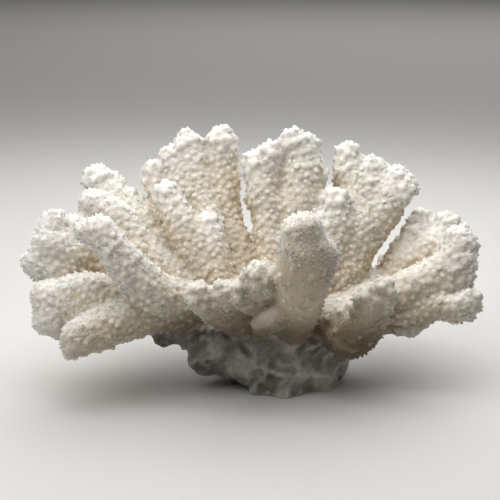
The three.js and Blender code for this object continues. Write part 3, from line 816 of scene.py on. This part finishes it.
def shader_mix(tree, share, first, second, way="MIX"):
    """Two colours mixed, or the second laid over the first in another way."""
    mixed = node(tree, "ShaderNodeMix", {"Factor": share}, data_type="RGBA", blend_type=way)
    for socket, value in [(mixed.inputs[6], first), (mixed.inputs[7], second)]:
        if isinstance(value, bpy.types.NodeSocket):
            tree.links.new(value, socket)
        else:
            socket.default_value = (*value, 1)
    return mixed.outputs[2]


def part_of(tree, value, share):
    """A share of a number."""
    return node(tree, "ShaderNodeMath", {0: value, 1: share}, operation="MULTIPLY").outputs[0]


def stone(name, grit):
    """Matt, faintly translucent stone, coloured by what each point of the skin knows, painted light and
    shade included.
    """
    material = bpy.data.materials.new(name)
    material.use_nodes = True
    tree = material.node_tree
    surface = tree.nodes["Principled BSDF"]
    known = {}
    for fact in facts:
        known[fact] = node(tree, "ShaderNodeAttribute", attribute_name=fact).outputs["Fac"]
    where = node(tree, "ShaderNodeTexCoord").outputs["Object"]
    patches = node(tree, "ShaderNodeTexNoise", {"Vector": where, "Scale": 60.0, "Detail": 4.0})
    # Deep in the crown the colours turn ochre, partly their own and partly painted shade.
    shaded_crease = shader_mix(tree, known["depth"], CREASE_SHADE, DEEP_CREASE_OCHRE_AND_SHADE)
    swell = shader_mix(tree, known["depth"], SWELLS, DEEP_SWELL_OCHRE_AND_SHADE)
    # Painted shade in the creases, paler on the swells.
    ground = shader_mix(tree, known["swell"], shaded_crease, swell)
    # A painted highlight on skin that faces up.
    ground = shader_mix(tree, part_of(tree, known["crest"], CREST_HIGHLIGHT_SHARE), ground, CREST_HIGHLIGHT)
    # A painted highlight on the warts' tops, strongest at their peaks.
    lit_wart_tops = shader_mix(tree, known["depth"], WART_TOP_HIGHLIGHT, DEEP_WART_TOP_OCHRE_AND_HIGHLIGHT)
    colour = shader_mix(tree, known["rise"], ground, lit_wart_tops)
    colour = shader_mix(tree, part_of(tree, known["tip"], TIP_SHARE), colour, TIP_WHITE)
    # Painted shade on undersides.
    colour = shader_mix(tree, part_of(tree, known["under"], UNDERSIDE_SHADE_SHARE), colour, UNDERSIDE_SHADE)
    worn = node(tree, "ShaderNodeMapRange",
                {"Value": patches.outputs["Fac"], 1: 0.35, 2: 0.65, 3: 0.0, 4: 1.0})
    # The foot's grey-brown stone in worn patches, darkened as painted shade.
    foot = shader_mix(tree, worn.outputs[0], DARK_STONE, PALE_STONE)
    # A painted highlight on the foot's edges.
    foot = shader_mix(tree, part_of(tree, known["swell"], EDGE_HIGHLIGHT_SHARE), foot, STONE_EDGE_HIGHLIGHT)
    # Painted shade on the foot's left side and painted light on its right.
    across = node(tree, "ShaderNodeSeparateXYZ", {0: where}).outputs["X"]
    side_light_and_shade = node(tree, "ShaderNodeMapRange",
                   {"Value": across, 1: -STONE_HALF_WIDTH, 2: STONE_HALF_WIDTH,
                    3: STONE_LEFT_PAINTED_SHADE, 4: STONE_RIGHT_PAINTED_LIGHT})
    shaded = node(tree, "ShaderNodeVectorMath", {0: foot, "Scale": side_light_and_shade.outputs[0]},
                  operation="SCALE")
    colour = shader_mix(tree, part_of(tree, known["low"], STONE_SHARE), colour, shaded.outputs[0])
    shade = node(tree, "ShaderNodeMapRange",
                 {"Value": patches.outputs["Fac"], 1: 0.3, 2: 0.7, 3: DARK_SHADE, 4: PALE_SHADE})
    # Dust with painted shade on the front.
    colour = shader_mix(tree, known["dust"], colour, DUST_AND_SHADE_TINT, "MULTIPLY")
    # A stain with painted shade on the lower front.
    colour = shader_mix(tree, known["stain"], colour, STAIN_AND_SHADE_TINT, "MULTIPLY")
    tinted = node(tree, "ShaderNodeVectorMath", {0: colour, "Scale": shade.outputs[0]},
                  operation="SCALE")
    tree.links.new(tinted.outputs[0], surface.inputs["Base Color"])
    surface.inputs["Roughness"].default_value = 0.88
    surface.inputs["Specular IOR Level"].default_value = 0.25
    surface.inputs["Subsurface Weight"].default_value = 0.3
    surface.inputs["Subsurface Radius"].default_value = SCATTER_COLOUR
    surface.inputs["Subsurface Scale"].default_value = SCATTER_LENGTH
    pores = node(tree, "ShaderNodeTexNoise", {"Vector": where, "Scale": 1500.0, "Detail": 3.0})
    relief = node(tree, "ShaderNodeBump",
                  {"Height": pores.outputs["Fac"], "Strength": grit, "Distance": PORE_DEPTH})
    breaks = node(tree, "ShaderNodeTexNoise",
                  {"Vector": where, "Scale": 240.0, "Detail": 6.0, "Roughness": 0.62})
    broken_relief = node(tree, "ShaderNodeBump",
                         {"Height": breaks.outputs["Fac"],
                          "Strength": part_of(tree, known["low"], BREAK_SHARE),
                          "Distance": BREAK_DEPTH, "Normal": relief.outputs["Normal"]})
    tree.links.new(broken_relief.outputs["Normal"], surface.inputs["Normal"])
    return material


branch_stone = stone("branch_stone", 0.5)
foot_stone = stone("foot_stone", 0.9)

# The pieces
# Each branch is its skin with the warts on it, closed inside the stone, out of sight. A wart has a
# painted highlight at its top and the colour of the skin round it at its foot.
ROOT = "root"
CAP_DEPTH = 1.5 * MM
WART_MIDDLE, WART_GAIN = 0.4, 0.8


def rims_of(faces):
    """Closed runs of vertices round the openings of a patch of faces, in the faces' own direction."""
    sides = np.stack([faces, np.roll(faces, -1, axis=1)], axis=2).reshape(-1, 2)
    codes = sides[:, 0].astype(np.int64) * len(places) + sides[:, 1]
    back = sides[:, 1].astype(np.int64) * len(places) + sides[:, 0]
    open_sides = sides[~np.isin(codes, back)]
    following = {}
    for a, b in open_sides.tolist():
        following.setdefault(a, []).append(b)
    rims = []
    while following:
        start = next(iter(following))
        rim = [start]
        while True:
            choices = following[rim[-1]]
            step = choices.pop()
            if not choices:
                del following[rim[-1]]
            if step == start:
                break
            rim.append(step)
        rims.append(rim)
    return rims


warts = []
for mesh in wart_meshes:
    corners = np.empty(len(mesh.loops), np.int32)
    mesh.loops.foreach_get("vertex_index", corners)
    known = {fact: rows_of(mesh.attributes[fact].data, "value", 1)[:, 0] for fact in facts}
    # The painted highlight rises from the foot of each wart to its top.
    known["rise"] = np.clip(WART_MIDDLE + WART_GAIN * known["rise"], 0, 1)
    warts.append({
        "owner": rows_of(mesh.attributes["owner"].data, "value", 1)[:, 0].round().astype(int),
        "places": rows_of(mesh.vertices, "co", 3),
        "normals": SOFTNESS * rows_of(mesh.attributes["ground_normal"].data, "vector", 3)
        + (1 - SOFTNESS) * rows_of(mesh.vertex_normals, "vector", 3),
        "faces": corners.reshape(-1, 3),
        "facts": known,
    })

for number, name in enumerate(NAMES):
    faces = quads[face_branch == number]
    used, local = np.unique(faces, return_inverse=True)
    polygons = local.reshape(-1, 4).tolist()
    points = places[used].tolist()
    corner_normals = normals[faces.ravel()].tolist()
    known = {fact: facts[fact][used].tolist() for fact in facts}
    index = {vertex: i for i, vertex in enumerate(used.tolist())}
    for rim in rims_of(faces):
        inner = len(points)
        sunk = places[rim] - normals[rim] * CAP_DEPTH
        points += sunk.tolist() + [sunk.mean(axis=0).tolist()]
        centre = inner + len(rim)
        for i, vertex in enumerate(rim):
            j = (i + 1) % len(rim)
            polygons.append([index[rim[j]], index[vertex], inner + i, inner + j])
            polygons.append([inner + j, inner + i, centre])
            corner_normals += [(0, 0, 0)] * 7
        for fact in facts:
            known[fact] += facts[fact][rim].tolist() + [0.0]
    for kind in warts:
        own = kind["owner"] == number
        own_faces = kind["faces"][own[kind["faces"][:, 0]]]
        renumbered = np.cumsum(own) - 1 + len(points)
        polygons += renumbered[own_faces].tolist()
        points += kind["places"][own].tolist()
        corner_normals += kind["normals"][own_faces.ravel()].tolist()
        for fact in facts:
            known[fact] += kind["facts"][fact][own].tolist()
    mesh = bpy.data.meshes.new(name + "_skin")
    mesh.from_pydata(points, [], polygons)
    for fact in facts:
        keep_numbers(mesh, fact, known[fact])
    mesh.shade_smooth()
    mesh.normals_split_custom_set(corner_normals)
    piece = bpy.data.objects.new(name + "_skin", mesh)
    bpy.context.scene.collection.objects.link(piece)
    mesh.materials.append(foot_stone if name in FOOT else branch_stone)
    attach(piece, ROOT)
    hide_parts(name)

# The studio
# A wide, pale, plain floor, soft light from above, the front and the left, and the camera at the
# photo's angle: in front of the crown and a little above it.
FLOOR_REACH = 4.0
FLOOR_COLOUR = (0.56, 0.55, 0.53, 1)
AIR_COLOUR = (1.0, 0.98, 0.95, 1)
AIR_STRENGTH = 0.12
CAMERA_TARGET = Vector((-17 * MM, 0, 71 * MM))
CAMERA_DISTANCE = 722 * MM
CAMERA_RISE = math.radians(15)
floor_mesh = bpy.data.meshes.new("floor")
floor_corners = [(-1, -1, 0), (1, -1, 0), (1, 1, 0), (-1, 1, 0)]
floor_mesh.from_pydata([Vector(corner) * FLOOR_REACH for corner in floor_corners], [], [(0, 1, 2, 3)])
floor = bpy.data.objects.new("floor", floor_mesh)
bpy.context.scene.collection.objects.link(floor)
floor_paint = bpy.data.materials.new("floor_paint")
floor_paint.use_nodes = True
floor_surface = floor_paint.node_tree.nodes["Principled BSDF"]
floor_surface.inputs["Base Color"].default_value = FLOOR_COLOUR
floor_surface.inputs["Roughness"].default_value = 0.8
floor_mesh.materials.append(floor_paint)
floor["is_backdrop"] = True

for name, place, size, power in [
    ("key_light", (-0.12, -0.2, 0.56), 0.5, 1.6),
    ("top_light", (0.02, 0.2, 0.5), 0.8, 4.1),
    ("left_light", (-0.5, -0.25, 0.45), 0.4, 1.2),
    ("back_light", (0.3, 1.7, 1.4), 1.6, 14.0),
]:
    lamp = bpy.data.lights.new(name, "AREA")
    lamp.size = size
    lamp.energy = power
    light = bpy.data.objects.new(name, lamp)
    light.location = place
    light.rotation_euler = (CAMERA_TARGET - light.location).to_track_quat("-Z", "Y").to_euler()
    bpy.context.scene.collection.objects.link(light)

world = bpy.data.worlds.new("studio")
world.use_nodes = True
world.node_tree.nodes["Background"].inputs["Color"].default_value = AIR_COLOUR
world.node_tree.nodes["Background"].inputs["Strength"].default_value = AIR_STRENGTH
bpy.context.scene.world = world
bpy.context.scene.view_settings.view_transform = "Standard"

lens = bpy.data.cameras.new("camera")
lens.lens = 100
lens.sensor_width = 36
camera = bpy.data.objects.new("camera", lens)
back = Vector((0, -math.cos(CAMERA_RISE), math.sin(CAMERA_RISE)))
camera.location = CAMERA_TARGET + CAMERA_DISTANCE * back
camera.rotation_euler = (CAMERA_TARGET - camera.location).to_track_quat("-Z", "Y").to_euler()
bpy.context.scene.collection.objects.link(camera)
bpy.context.scene.camera = camera

low_corner, high_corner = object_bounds()
sizes = {"cad": [list(cad_low), list(cad_high)], "visual": [list(low_corner), list(high_corner)]}
